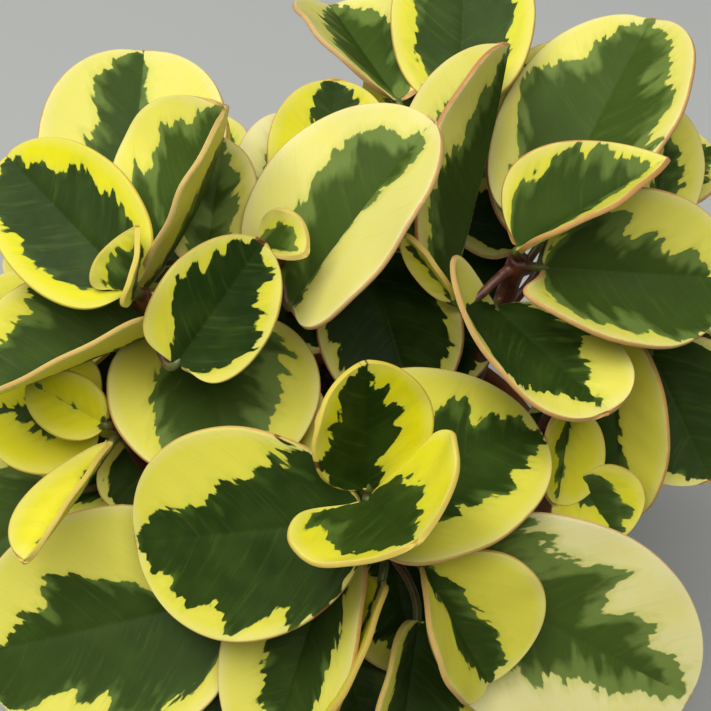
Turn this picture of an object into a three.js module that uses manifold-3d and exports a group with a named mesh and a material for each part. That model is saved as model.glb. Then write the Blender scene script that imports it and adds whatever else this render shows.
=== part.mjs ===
// Potted peperomia: a plain round pot, its soil and eleven leafy stems.
// Millimetres, +Z up. The origin is the centre of the pot's underside and -Y is the front.
import * as THREE from "three";
import Module from "manifold-3d";

const wasm = await Module();
wasm.setup();

// ---- driving dimensions -------------------------------------------------------------------
const POT = { height: 130, foot: 50, rim: 75, rimHeight: 24, rimStep: 3.5, wall: 5, floor: 7 };
const SOIL = 118; // height of the soil's surface
const GAP = 0.3; // clearance between the soil and what it touches
const STEM_FOOT = 98; // how deep the stems stand in the soil
const BLADE = 1.3; // thickness of a leaf
const PETIOLE = 1.7; // radius of a leaf stalk
const NECK = 2.0; // half the width of a blade where its stalk joins

const BLADE_ROWS = 6;
const BLADE_COLUMNS = 4;
const STEM_SIDES = 6;
const STALK_RINGS = 3;

const COLOURS = { pot: 0xa9674a, soil: 0x2c211a, leaf: 0x6f8a3a };

// ---- the stems: radius, where each leaves the soil, a point it bends through and its top -----
const STEMS = {
  a: { radius: 3.6, foot: [2, -32], knee: [4, -44, 160], top: [5, -72, 224] },
  b: { radius: 3.6, foot: [-36, 2], knee: [-52, -4, 180], top: [-66, -19, 252] },
  c: { radius: 3.2, foot: [-10, 22], knee: [-18, 19, 180], top: [-25, -1, 252] },
  d: { radius: 4.2, foot: [26, 6], knee: [40, 4, 180], top: [52, 0, 248] },
  e: { radius: 3, foot: [-42, -28], knee: [-62, -32, 160], top: [-76, -36, 208] },
  f: { radius: 3, foot: [-20, -44], knee: [-28, -54, 142], top: [-38, -70, 168] },
  g: { radius: 3.4, foot: [52, 12], knee: [74, 16, 170], top: [90, 18, 226] },
  h: { radius: 3.4, foot: [4, 44], knee: [12, 50, 178], top: [15, 56, 242] },
  k: { radius: 3, foot: [40, -16], knee: [52, -22, 155], top: [64, -22, 194] },
  i: { radius: 3.2, foot: [-36, 38], knee: [-47, 50, 170], top: [-52, 58, 222] },
  j: { radius: 3.2, foot: [36, 42], knee: [54, 54, 172], top: [62, 60, 228] },
};

// ---- the leaves, each chosen to stand as in the photo, and the back and low ones by the same
// habit: name (its first letter is its stem), how far up the stem its stalk leaves, where the
// blade begins, heading and rise of the blade in degrees, roll about its length, length, width,
// and what differs from a flat one: fold along the midrib, cup across, arch along, mid where it
// is widest, tip how blunt it is, lobe how far its base reaches back, curl of one side's base
// and ear how much wider that side is there.
const LEAVES = [
  ["a1", 1, [3.6, -75, 228], 93, 69, 20, 43, 41,
    { fold: 8, cup: 25, arch: -10, mid: 0.5, tip: 0.56, lobe: 0 }],
  ["a2", 1, [3.5, -77, 224.5], -66, 35, 20, 42, 64,
    { fold: 10, cup: 22, arch: -20, mid: 0.46, tip: 0.6, lobe: 3, curl: -40 }],
  ["a3", 0.93, [3, -79.5, 219], 171, -22, -46, 79, 68, { arch: 14, mid: 0.53, tip: 0.5, lobe: 1 }],
  ["a4", 0.93, [-4, -73.5, 219], 31, -11, 14, 75, 67,
    { fold: 8, arch: 15, mid: 0.36, tip: 0.5, lobe: 4 }],
  ["a5", 0.85, [20.5, -83.5, 199], -48, -46, -8, 45, 60,
    { fold: 36, cup: 5, arch: 0, tip: 0.48, lobe: 1 }],
  ["a6", 0.75, [27, -74, 184], -15, -27, 40, 96, 75, { cup: 5, mid: 0.5 }],
  ["a7", 0.85, [-3, -68, 195], -115, -41, 13, 80, 52, { fold: 22, cup: 5, arch: 10 }],
  ["a8", 0.75, [8, -84, 191], -119, -31, 48, 50, 34, { fold: 10, cup: 15, arch: -10, mid: 0.4 }],
  ["a9", 0.6, [20, -79.5, 160], -100, -29, -50, 56, 58, { fold: 25, cup: 5, arch: 0 }],
  ["a10", 0.5, [42, -54, 154], -20, -30, 0, 62, 52, { arch: 14 }],
  ["a11", 0.45, [12, -48, 152], -80, -8, 0, 44, 44],
  ["b1", 1, [-68, -24, 258.5], 72, 66, -30, 22, 27,
    { fold: 30, cup: 35, arch: -10, mid: 0.28, tip: 0.95 }],
  ["b2", 0.98, [-68, -22, 259], 134, 13, -30, 61, 46, { cup: 10, arch: 10, mid: 0.45, lobe: 1 }],
  ["b3", 0.93, [-71, -7, 237], 50, 45, -38, 68, 84,
    { fold: 28, cup: 2, arch: -36, mid: 0.66, tip: 0.38, lobe: 4 }],
  ["b4", 0.94, [-54.7, -37.3, 241], 41, 40, 38, 46, 38, { cup: 12, arch: 0, mid: 0.44 }],
  ["b5", 0.78, [-75.5, 20, 235], 86, 27, 3, 67, 64, { cup: 10, arch: 15, tip: 0.44 }],
  ["b6", 0.78, [-49, 9, 234], 78, 45, -2, 42, 32, { fold: 10, cup: 10, arch: 0, lobe: 2 }],
  ["b7", 0.84, [-62, -16, 233], -159, -8, 7, 67, 60,
    { fold: 44, cup: 10, arch: -10, mid: 0.46, lobe: 6 }],
  ["b8", 0.78, [-52, -2, 217], -76, -15, -4, 56, 70, { cup: 6, arch: 15, mid: 0.46, tip: 0.5, lobe: 2 }],
  ["b11", 0.6, [-82, 2, 202], 160, -5, 0, 60, 50],
  ["b12", 0.5, [-78, -20, 190], 112, -4, 0, 44, 44],
  ["c1", 1, [-30.5, -1, 254.3], -36, 24, 10, 21, 27, { fold: 30, cup: 40, arch: 0, lobe: 1 }],
  ["c2", 0.93, [-20, -9, 235.5], 36, 42, -6, 74, 69, { fold: 20, arch: 8, mid: 0.44, lobe: 4 }],
  ["c3", 0.85, [-10, 23, 241.5], 84, 42, 5, 46, 42, { arch: 0, tip: 0.46 }],
  ["c4", 0.8, [-29, 24, 230], 82, 36, 3, 44, 30, { arch: 0 }],
  ["c5", 0.6, [-26, -12, 204], -100, -16, 0, 50, 44],
  ["c14", 0.7, [5, 27, 219], -72, -27, 16, 54, 52, { fold: 15, cup: 10, arch: 0, lobe: 2 }],
  ["c6", 0.5, [-6, 2, 206], 140, -4, 0, 40, 40],
  ["d1", 0.88, [62, 18.5, 240.5], 60, 25, -20, 83, 68, { fold: 10, arch: 8, tip: 0.42 }],
  ["d2", 1, [51, -3, 255], 16, 30, -1, 54, 49,
    { fold: 36, cup: 15, arch: 0, mid: 0.33, tip: 0.9, lobe: 0 }],
  ["d3", 0.97, [59, -4, 248], 4, -9, 44, 63, 56,
    { fold: 8, cup: 14, arch: 10, mid: 0.44, tip: 0.5, lobe: 16, curl: -110 }],
  ["d4", 0.85, [45, -5.5, 230], -52, 0, -8, 54, 46,
    { fold: 4, cup: 6, arch: -5, mid: 0.56, tip: 0.42, lobe: 12, curl: -115, ear: 28 }],
  ["d5", 0.8, [30, 6, 226], 70, 48, -64, 82, 70, { fold: 42, arch: -10, mid: 0.55, tip: 0.46 }],
  ["d8", 0.72, [64, 29, 224], 85, 29, 3, 72, 46, { fold: 8, cup: 5, arch: 0, mid: 0.46 }],
  ["d15", 0.72, [28, 29, 205], -77, -23, 8, 38, 34, { fold: 15, cup: 10, arch: 0 }],
  ["d16", 0.97, [31, -12, 242], 146, 44, -94, 26, 14, { fold: 15, cup: 10, arch: 0, lobe: 1 }],
  ["e1", 0.95, [-78, -42.3, 207], -122, -12, 18, 47, 26,
    { fold: 46, cup: 10, arch: -10, mid: 0.68, tip: 0.42, lobe: 2 }],
  ["e3", 0.65, [-98, -36, 166], -152, -15, -30, 48, 58, { fold: 5, cup: 5, arch: 0, mid: 0.46 }],
  ["e4", 0.8, [-69, -25, 186], -80, -11, 7, 29, 38, { fold: 5, cup: 5, arch: 0 }],
  ["e5", 0.45, [-82, -44, 150], -172, -22, 0, 58, 50, { arch: 14 }],
  ["e9", 0.95, [-84, -25, 200], 178, 2, -30, 39, 44, { fold: 5, cup: 10, arch: 10, mid: 0.46 }],
  ["e10", 1, [-80, -38, 211], 157, 18, -36, 28, 22, { fold: 10, cup: 10, arch: 0, mid: 0.46, lobe: 0 }],
  ["e6", 0.5, [-71, -25, 168], 178, -7, 0, 46, 46],
  ["f1", 0.85, [-28, -84, 150], -106, -30, 0, 60, 52],
  ["f2", 1, [-42, -76, 169], -174, -14, -38, 86, 78, { cup: 5, mid: 0.45 }],
  ["f3", 0.6, [-4, -78, 140], -74, -30, 0, 58, 50],
  ["f4", 0.7, [-54, -72, 140], -162, -30, 0, 60, 50],
  ["g2", 0.8, [100, 24, 206], 15, -8, 0, 46, 46, { arch: 10 }],
  ["g3", 0.65, [94, 34, 194], 52, -16, 0, 60, 50, { arch: 14 }],
  ["g4", 0.5, [86, 26, 168], 14, -18, 0, 58, 50, { arch: 14 }],
  ["g9", 0.95, [99, 31, 234], 76, 29, 44, 40, 32, { fold: 16, cup: 5, arch: 0, mid: 0.46 }],
  ["g10", 0.8, [84, 0, 210], -82, -42, 35, 62, 42, { fold: 10, cup: 10, arch: 0, mid: 0.46 }],
  ["g11", 0.8, [100, 3, 198.5], -60, -34, 22, 48, 52, { fold: 10, cup: 5, arch: 0, mid: 0.46 }],
  ["h2", 0.75, [6, 62, 206], 92, -8, 0, 60, 50, { arch: 10 }],
  ["h3", 0.85, [-6, 56, 222], 150, 0, 0, 40, 38, { arch: 10 }],
  ["h4", 0.85, [24, 66, 228], 88, 8, 0, 54, 46, { arch: 10 }],
  ["h6", 1, [14, 61, 259], 116, 2, 18, 53, 66, { fold: 26, cup: 5, arch: 0, mid: 0.46, lobe: 1 }],
  ["h7", 0.95, [35, 61, 257], 87, 28, -4, 62, 50, { fold: 10, cup: 5, arch: 0 }],
  ["k12", 1, [71, -22, 198], -101, -29, -37, 32, 28, { fold: 20, cup: 10, arch: 0, lobe: 2 }],
  ["k13", 0.9, [73, -41, 185], -50, -27, 25, 24, 34, { fold: 10, cup: 10, arch: 0, lobe: 2 }],
  ["k17", 0.6, [58, -6, 166], -15, -22, 0, 50, 44],
  ["i1", 1, [-52, 60, 226], 120, 60, 0, 34, 26, { fold: 10, cup: 20, arch: -10 }],
  ["i2", 0.92, [-62, 54, 214], 195, 10, 0, 54, 46, { arch: 10 }],
  ["i3", 0.9, [-54, 72, 205], 108, -8, 0, 50, 46],
  ["i4", 0.7, [-68, 52, 190], 165, -10, 0, 64, 54, { arch: 14 }],
  ["i5", 0.7, [-42, 74, 190], 70, -14, 0, 62, 50, { arch: 14 }],
  ["i6", 0.5, [-60, 66, 166], 130, -24, 0, 68, 58, { arch: 14 }],
  ["j1", 1, [64, 63, 232], 70, 30, 0, 44, 36, { fold: 10, cup: 15, arch: -5 }],
  ["j2", 0.9, [76, 60, 210], 25, 4, 0, 60, 50],
  ["j3", 0.85, [68, 76, 208], 85, -6, 0, 60, 50],
  ["j4", 0.65, [50, 72, 186], 112, -18, 0, 64, 52, { arch: 14 }],
  ["j5", 0.55, [78, 66, 176], 40, -20, 0, 66, 54, { arch: 14 }],
  ["j6", 0.5, [58, 50, 178], 165, 0, 0, 37, 44],
  ["j7", 0.7, [58, 49, 200], 125, 2, 0, 36, 38],
];

const FLAT = { fold: 6, cup: 8, arch: 12, mid: 0.5, tip: 0.52, lobe: 3, curl: 0, ear: 0 };

// ---- small vector helpers ------------------------------------------------------------------
const vec = (x, y, z) => new THREE.Vector3(x, y, z);
const rad = THREE.MathUtils.degToRad;
const along = (p, d, k) => p.clone().addScaledVector(d, k);

// A point on the quadratic through the soil, the knee and the top of a stem, u from 0 to 1.
function stemPoint({ foot, knee, top }, u) {
  const [p, q, r] = [vec(...foot, SOIL), vec(...knee), vec(...top)];
  return p.multiplyScalar((1 - u) * (1 - 2 * u)).addScaledVector(q, 4 * u * (1 - u))
    .addScaledVector(r, u * (2 * u - 1));
}

// ---- one leaf blade ------------------------------------------------------------------------
// Its own axes: d from the stalk to the tip, n out of the upper face, b to the left.
function bladeAxes({ heading, rise, roll }) {
  const [h, r] = [rad(heading), rad(rise)];
  const d = vec(Math.cos(h) * Math.cos(r), Math.sin(h) * Math.cos(r), Math.sin(r));
  const n = vec(-Math.cos(h) * Math.sin(r), -Math.sin(h) * Math.sin(r), Math.cos(r));
  n.applyAxisAngle(d, rad(roll));
  return { d, n, b: n.clone().cross(d) };
}

// Half the width at s, from the stalk (0) to the tip (1), widest at mid.
function halfWidth({ width, mid, tip }, s) {
  const rising = (Math.max(s, 1e-9) / mid) ** (tip * mid / (1 - mid));
  const falling = (Math.max(1 - s, 0) / (1 - mid)) ** tip;
  return Math.max(width / 2 * rising * falling, NECK * (1 - s) ** 2);
}

// A point of the blade's middle surface: s along the leaf, t across it from -1 to 1.
function bladePoint(leaf, s, t) {
  const { d, n, b } = leaf.axes;
  const bend = rad(leaf.arch) || 1e-6;
  const phi = bend / 2 - bend * s;
  const chord = leaf.length / (2 * Math.sin(bend / 2));
  const side = Math.sign(t);
  const near = (s / 0.15) * Math.exp(1 - s / 0.15); // how near the row is to the blade's base
  const plain = leaf.curl * side < 0; // a leaf with one side curled has its lobe and ear only there
  const x = chord * (Math.sin(bend / 2) - Math.sin(phi)) - (plain ? 0 : leaf.lobe) * t * t * near;
  const z = chord * (Math.cos(phi) - Math.cos(bend / 2));
  const half = halfWidth(leaf, s) + (plain ? 0 : leaf.ear) * near;
  const curled = side * leaf.curl > 0 ? rad(Math.abs(leaf.curl)) * (1 - s) ** 1.5 : 0;
  const slope = rad(leaf.fold) * (1.2 - 0.4 * s);
  const k = rad(leaf.cup) / (leaf.width / 2) + curled / Math.max(half, 0.1);
  const turned = slope + k * Math.abs(t) * half;
  const across = side * (Math.sin(turned) - Math.sin(slope)) / k;
  const lift = (Math.cos(slope) - Math.cos(turned)) / k;
  return vec(...leaf.base).addScaledVector(d, x - lift * Math.sin(phi))
    .addScaledVector(n, z + lift * Math.cos(phi)).addScaledVector(b, across);
}

function bladeNormal(leaf, s, t) {
  const step = 0.02;
  const [s0, s1] = [Math.max(s - step, 0), Math.min(s + step, 1 - step / 4)];
  const [t0, t1] = [Math.max(t - step, -1), Math.min(t + step, 1)];
  const inside = Math.min(s, 1 - step);
  const u = bladePoint(leaf, s1, t).sub(bladePoint(leaf, Math.min(s0, s1 - step / 2), t));
  const v = bladePoint(leaf, inside, t1).sub(bladePoint(leaf, inside, t0));
  return u.cross(v).normalize();
}

// The stalk's line, from inside the stem to where the blade begins.
function stalkCurve(stem, leaf) {
  const { d, n } = leaf.axes;
  const [from, base] = [stemPoint(stem, leaf.at), vec(...leaf.base)];
  const up = stemPoint(stem, leaf.at).sub(stemPoint(stem, leaf.at - 0.02)).normalize();
  const leave = base.clone().sub(from).normalize().addScaledVector(up, 0.5).normalize();
  const half = rad(leaf.arch) / 2;
  const arrive = along(d.clone().multiplyScalar(Math.cos(half)), n, Math.sin(half));
  const reach = base.distanceTo(from) * 0.35;
  return new THREE.CubicBezierCurve3(from, along(from, leave, reach), along(base, arrive, -reach), base);
}

// A closed leaf in one skin: rings round the stalk, then the blade with the same grid on both
// faces, so that it is equally thick all over, and one point for each face at the tip.
function leafSolid(stem, leaf) {
  const [rings, rows, columns] = [STALK_RINGS, BLADE_ROWS, BLADE_COLUMNS];
  const points = [];
  const curve = stalkCurve(stem, leaf);
  let across = leaf.axes.b;
  for (let i = rings - 1; i >= 0; i--) {
    const [centre, d] = [curve.getPoint(i / rings), curve.getTangent(i / rings)];
    across = along(across, d, -across.dot(d)).normalize();
    const up = d.clone().cross(across);
    const ring = [];
    for (let j = 0; j <= columns; j++) {
      const a = Math.PI * (1 - (j + 0.5) / (columns + 1));
      for (const face of [1, -1]) {
        ring.push(along(along(centre, across, PETIOLE * Math.cos(a)), up, face * PETIOLE * Math.sin(a)));
      }
    }
    points.unshift(...ring);
  }
  for (let i = 0; i <= rows; i++) {
    const s = (1 - Math.cos(Math.PI * i / rows)) / 2;
    for (let j = 0; j <= (i < rows ? columns : 0); j++) {
      const t = i < rows ? 2 * j / columns - 1 : 0;
      const [p, n] = [bladePoint(leaf, s, t), bladeNormal(leaf, s, t)];
      points.push(along(p, n, BLADE / 2), along(p, n, -BLADE / 2));
    }
  }
  const last = rings + rows;
  const id = (i, j, under) => 2 * (i * (columns + 1) + (i === last ? 0 : j)) + under;
  const triangles = [];
  const quad = (p, q, r, s) => triangles.push([p, q, r], [p, r, s]);
  for (let i = 0; i < last; i++) {
    for (let j = 0; j < columns; j++) {
      quad(id(i, j, 0), id(i + 1, j, 0), id(i + 1, j + 1, 0), id(i, j + 1, 0));
      quad(id(i, j + 1, 1), id(i + 1, j + 1, 1), id(i + 1, j, 1), id(i, j, 1));
    }
    quad(id(i, 0, 1), id(i + 1, 0, 1), id(i + 1, 0, 0), id(i, 0, 0));
    quad(id(i, columns, 0), id(i + 1, columns, 0), id(i + 1, columns, 1), id(i, columns, 1));
  }
  for (let j = 0; j < columns; j++) quad(id(0, j, 1), id(0, j, 0), id(0, j + 1, 0), id(0, j + 1, 1));
  return solid(points, triangles);
}

// ---- solids --------------------------------------------------------------------------------
function solid(points, triangles) {
  const kept = triangles.filter(([p, q, r]) => p !== q && q !== r && r !== p).flat();
  return new wasm.Manifold(new wasm.Mesh({
    numProp: 3,
    vertProperties: new Float32Array(points.flatMap((p) => p.toArray())),
    triVerts: new Uint32Array(kept),
  }));
}

// A closed tube along a list of points, with a radius at each.
function tube(path, radii, sides) {
  const points = [];
  let across = vec(1, 0, 0);
  path.forEach((p, i) => {
    const d = path[Math.min(i + 1, path.length - 1)].clone().sub(path[Math.max(i - 1, 0)]).normalize();
    if (Math.abs(across.dot(d)) > 0.95) across = vec(0, 1, 0);
    across = along(across, d, -across.dot(d)).normalize();
    const other = d.clone().cross(across);
    for (let k = 0; k < sides; k++) {
      const a = 2 * Math.PI * k / sides;
      points.push(along(along(p, across, radii[i] * Math.cos(a)), other, radii[i] * Math.sin(a)));
    }
  });
  const last = (path.length - 1) * sides;
  const [start, end] = [points.push(path[0]) - 1, points.push(path.at(-1)) - 1];
  const triangles = [];
  for (let k = 0; k < sides; k++) {
    const m = (k + 1) % sides;
    for (let i = 0; i < last; i += sides) {
      triangles.push([i + k, i + m, i + sides + m], [i + k, i + sides + m, i + sides + k]);
    }
    triangles.push([start, m, k], [end, last + k, last + m]);
  }
  return solid(points, triangles);
}

// A solid turned about the pot's axis from its [radius, height] corners.
function turned(corners, sides) {
  return wasm.CrossSection.ofPolygons([corners]).revolve(sides);
}

// ---- a leafy stem --------------------------------------------------------------------------
function stemPath(stem) {
  const path = [vec(...stem.foot, STEM_FOOT), vec(...stem.foot, SOIL + 1)];
  for (let i = 1; i <= 5; i++) path.push(stemPoint(stem, i / 5));
  return path;
}

function stemBody(stem) {
  const path = stemPath(stem);
  const radii = path.map((_, i) => stem.radius * (i < 2 ? 1 : 1 - 0.3 * (i - 1) / 5));
  const rising = path.at(-1).clone().sub(path.at(-2)).normalize();
  const bud = [along(path.at(-1), rising, 5), along(path.at(-1), rising, 10)];
  return tube([...path, ...bud], [...radii, radii.at(-1) * 0.75, 0.6], STEM_SIDES);
}

function leafyStem(name) {
  const stem = STEMS[name];
  const parts = [stemBody(stem)];
  for (const [id, at, base, heading, rise, roll, length, width, shape] of LEAVES) {
    if (id[0] !== name) continue;
    const leaf = { at, base, heading, rise, roll, length, width, ...FLAT, ...shape };
    leaf.axes = bladeAxes(leaf);
    parts.push(leafSolid(stem, leaf));
  }
  // A pocket closed in between a stalk and a blade comes out as a piece of its own: it is filled.
  const joined = wasm.Manifold.union(parts).simplify(0.08);
  const [body, ...others] = joined.decompose().filter((piece) => piece.volume() > 0);
  if (others.length) throw new Error(`${name}: ${others.length} pieces aren't joined to the stem`);
  return body;
}

// ---- pot and soil --------------------------------------------------------------------------
function pot() {
  const { height, foot, rim, rimHeight, rimStep, wall, floor } = POT;
  const waist = rim - rimStep;
  return turned([
    [0, 0], [foot - 2, 0], [foot, 2], [waist - 1.5, height - rimHeight], [rim, height - rimHeight],
    [rim, height - 2], [rim - 2, height], [rim - wall, height],
    [waist - wall - 1.5, height - rimHeight], [foot - wall + 1, floor], [0, floor],
  ], 36);
}

// The wall's inner face at a height below the rim.
function insideRadius(z) {
  const { height, foot, rim, rimHeight, rimStep, wall, floor } = POT;
  const [low, high] = [foot - wall + 1, rim - rimStep - wall - 1.5];
  const k = (z - floor) / (height - rimHeight - floor);
  if (k <= 1) return low + (high - low) * k;
  return high + (rim - wall - high) * (z - height + rimHeight) / rimHeight;
}

function soil() {
  const shoulder = POT.height - POT.rimHeight;
  const bottom = POT.floor + GAP;
  const body = turned([
    [0, bottom], [insideRadius(bottom) - GAP - 0.2, bottom], [insideRadius(shoulder) - GAP - 0.2, shoulder],
    [insideRadius(SOIL - 3) - GAP - 0.2, SOIL - 3], [60, SOIL], [0, SOIL],
  ], 36);
  const holes = Object.values(STEMS).map(({ foot, radius }) => {
    const clearance = (radius + GAP) / Math.cos(Math.PI / 8);
    return tube([vec(...foot, STEM_FOOT - GAP), vec(...foot, SOIL + 1)], [clearance, clearance], 8);
  });
  return body.subtract(wasm.Manifold.union(holes));
}

// ---- assembly ------------------------------------------------------------------------------
function mesh(name, body, colour, roughness) {
  const { vertProperties, triVerts, numProp } = body.getMesh();
  const positions = [];
  for (let i = 0; i < vertProperties.length; i += numProp) positions.push(...vertProperties.subarray(i, i + 3));
  const geometry = new THREE.BufferGeometry();
  geometry.setAttribute("position", new THREE.Float32BufferAttribute(positions, 3));
  geometry.setIndex([...triVerts]);
  geometry.computeVertexNormals();
  const material = new THREE.MeshStandardMaterial({ color: colour, roughness, metalness: 0 });
  const node = new THREE.Mesh(geometry, material);
  node.name = name;
  return node;
}

const plant = new THREE.Group();
plant.name = "potted_peperomia";
plant.add(mesh("pot", pot(), COLOURS.pot, 0.8));
plant.add(mesh("soil", soil(), COLOURS.soil, 0.95));
for (const name of Object.keys(STEMS)) plant.add(mesh(`leafy_stem_${name}`, leafyStem(name), COLOURS.leaf, 0.4));

export default plant;
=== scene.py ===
"""Potted peperomia: the looks of a variegated peperomia with waxy leaves in a plain clay pot.

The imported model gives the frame. Every leafy stem is built again here as one stem with its
leaf stalks and one blade for each leaf, on the same lines and curves as its solid.
Lengths in the tables are millimetres, and angles are degrees.
"""
import math
import random

import bmesh
import bpy
import numpy as np
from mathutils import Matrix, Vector


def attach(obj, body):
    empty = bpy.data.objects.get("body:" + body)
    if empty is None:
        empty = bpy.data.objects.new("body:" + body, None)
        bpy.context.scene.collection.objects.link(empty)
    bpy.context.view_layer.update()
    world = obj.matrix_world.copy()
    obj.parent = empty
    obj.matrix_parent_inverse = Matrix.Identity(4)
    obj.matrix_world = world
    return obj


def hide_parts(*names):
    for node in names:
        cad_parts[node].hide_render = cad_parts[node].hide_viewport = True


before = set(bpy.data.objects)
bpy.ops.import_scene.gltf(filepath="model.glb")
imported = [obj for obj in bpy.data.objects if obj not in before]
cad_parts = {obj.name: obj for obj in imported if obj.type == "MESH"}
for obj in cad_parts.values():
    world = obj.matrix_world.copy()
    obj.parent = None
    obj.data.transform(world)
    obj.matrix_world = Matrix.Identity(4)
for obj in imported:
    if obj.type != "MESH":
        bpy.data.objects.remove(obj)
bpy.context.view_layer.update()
MM = 0.001

# ---- camera, at the photograph's viewing angle ---------------------------------------------
CAMERA_RISE = math.radians(50)
CAMERA_DISTANCE = 0.6
TARGET_HEIGHT = 0.2
bpy.ops.object.camera_add(
    location=(0, -CAMERA_DISTANCE * math.cos(CAMERA_RISE),
              TARGET_HEIGHT + CAMERA_DISTANCE * math.sin(CAMERA_RISE)),
    rotation=(math.pi / 2 - CAMERA_RISE, 0, 0))
camera = bpy.context.object
camera.name = "camera"
camera.data.lens = 90
bpy.context.scene.camera = camera
bpy.context.scene.view_settings.view_transform = "Standard"

# ---- the plant, as in its solids -----------------------------------------------------------
SOIL_TOP = 118
STEM_FOOT = 98
BLADE = 1.7      # thickness of a leaf
NECK = 2.0       # half the width of a blade where its stalk joins
NEAR_BASE = 0.15     # how far along a blade its lobes and its ear are fullest
SIDE_VEIN_LEAN, SIDE_VEIN_BOW = 0.55, 0.6   # how far the side veins run forward, and bend

# radius, where the stem leaves the soil, a point it bends through, its top
STEMS = {
    "a": (3.6, (2, -32), (4, -44, 160), (5, -72, 224)),
    "b": (3.6, (-36, 2), (-52, -4, 180), (-66, -19, 252)),
    "c": (3.2, (-10, 22), (-18, 19, 180), (-25, -1, 252)),
    "d": (4.2, (26, 6), (40, 4, 180), (52, 0, 248)),
    "e": (3, (-42, -28), (-62, -32, 160), (-76, -36, 208)),
    "f": (3, (-20, -44), (-28, -54, 142), (-38, -70, 168)),
    "g": (3.4, (52, 12), (74, 16, 170), (90, 18, 226)),
    "h": (3.4, (4, 44), (12, 50, 178), (15, 56, 242)),
    "k": (3, (40, -16), (52, -22, 155), (64, -22, 194)),
    "i": (3.2, (-36, 38), (-47, 50, 170), (-52, 58, 222)),
    "j": (3.2, (36, 42), (54, 54, 172), (62, 60, 228)),
}

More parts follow.
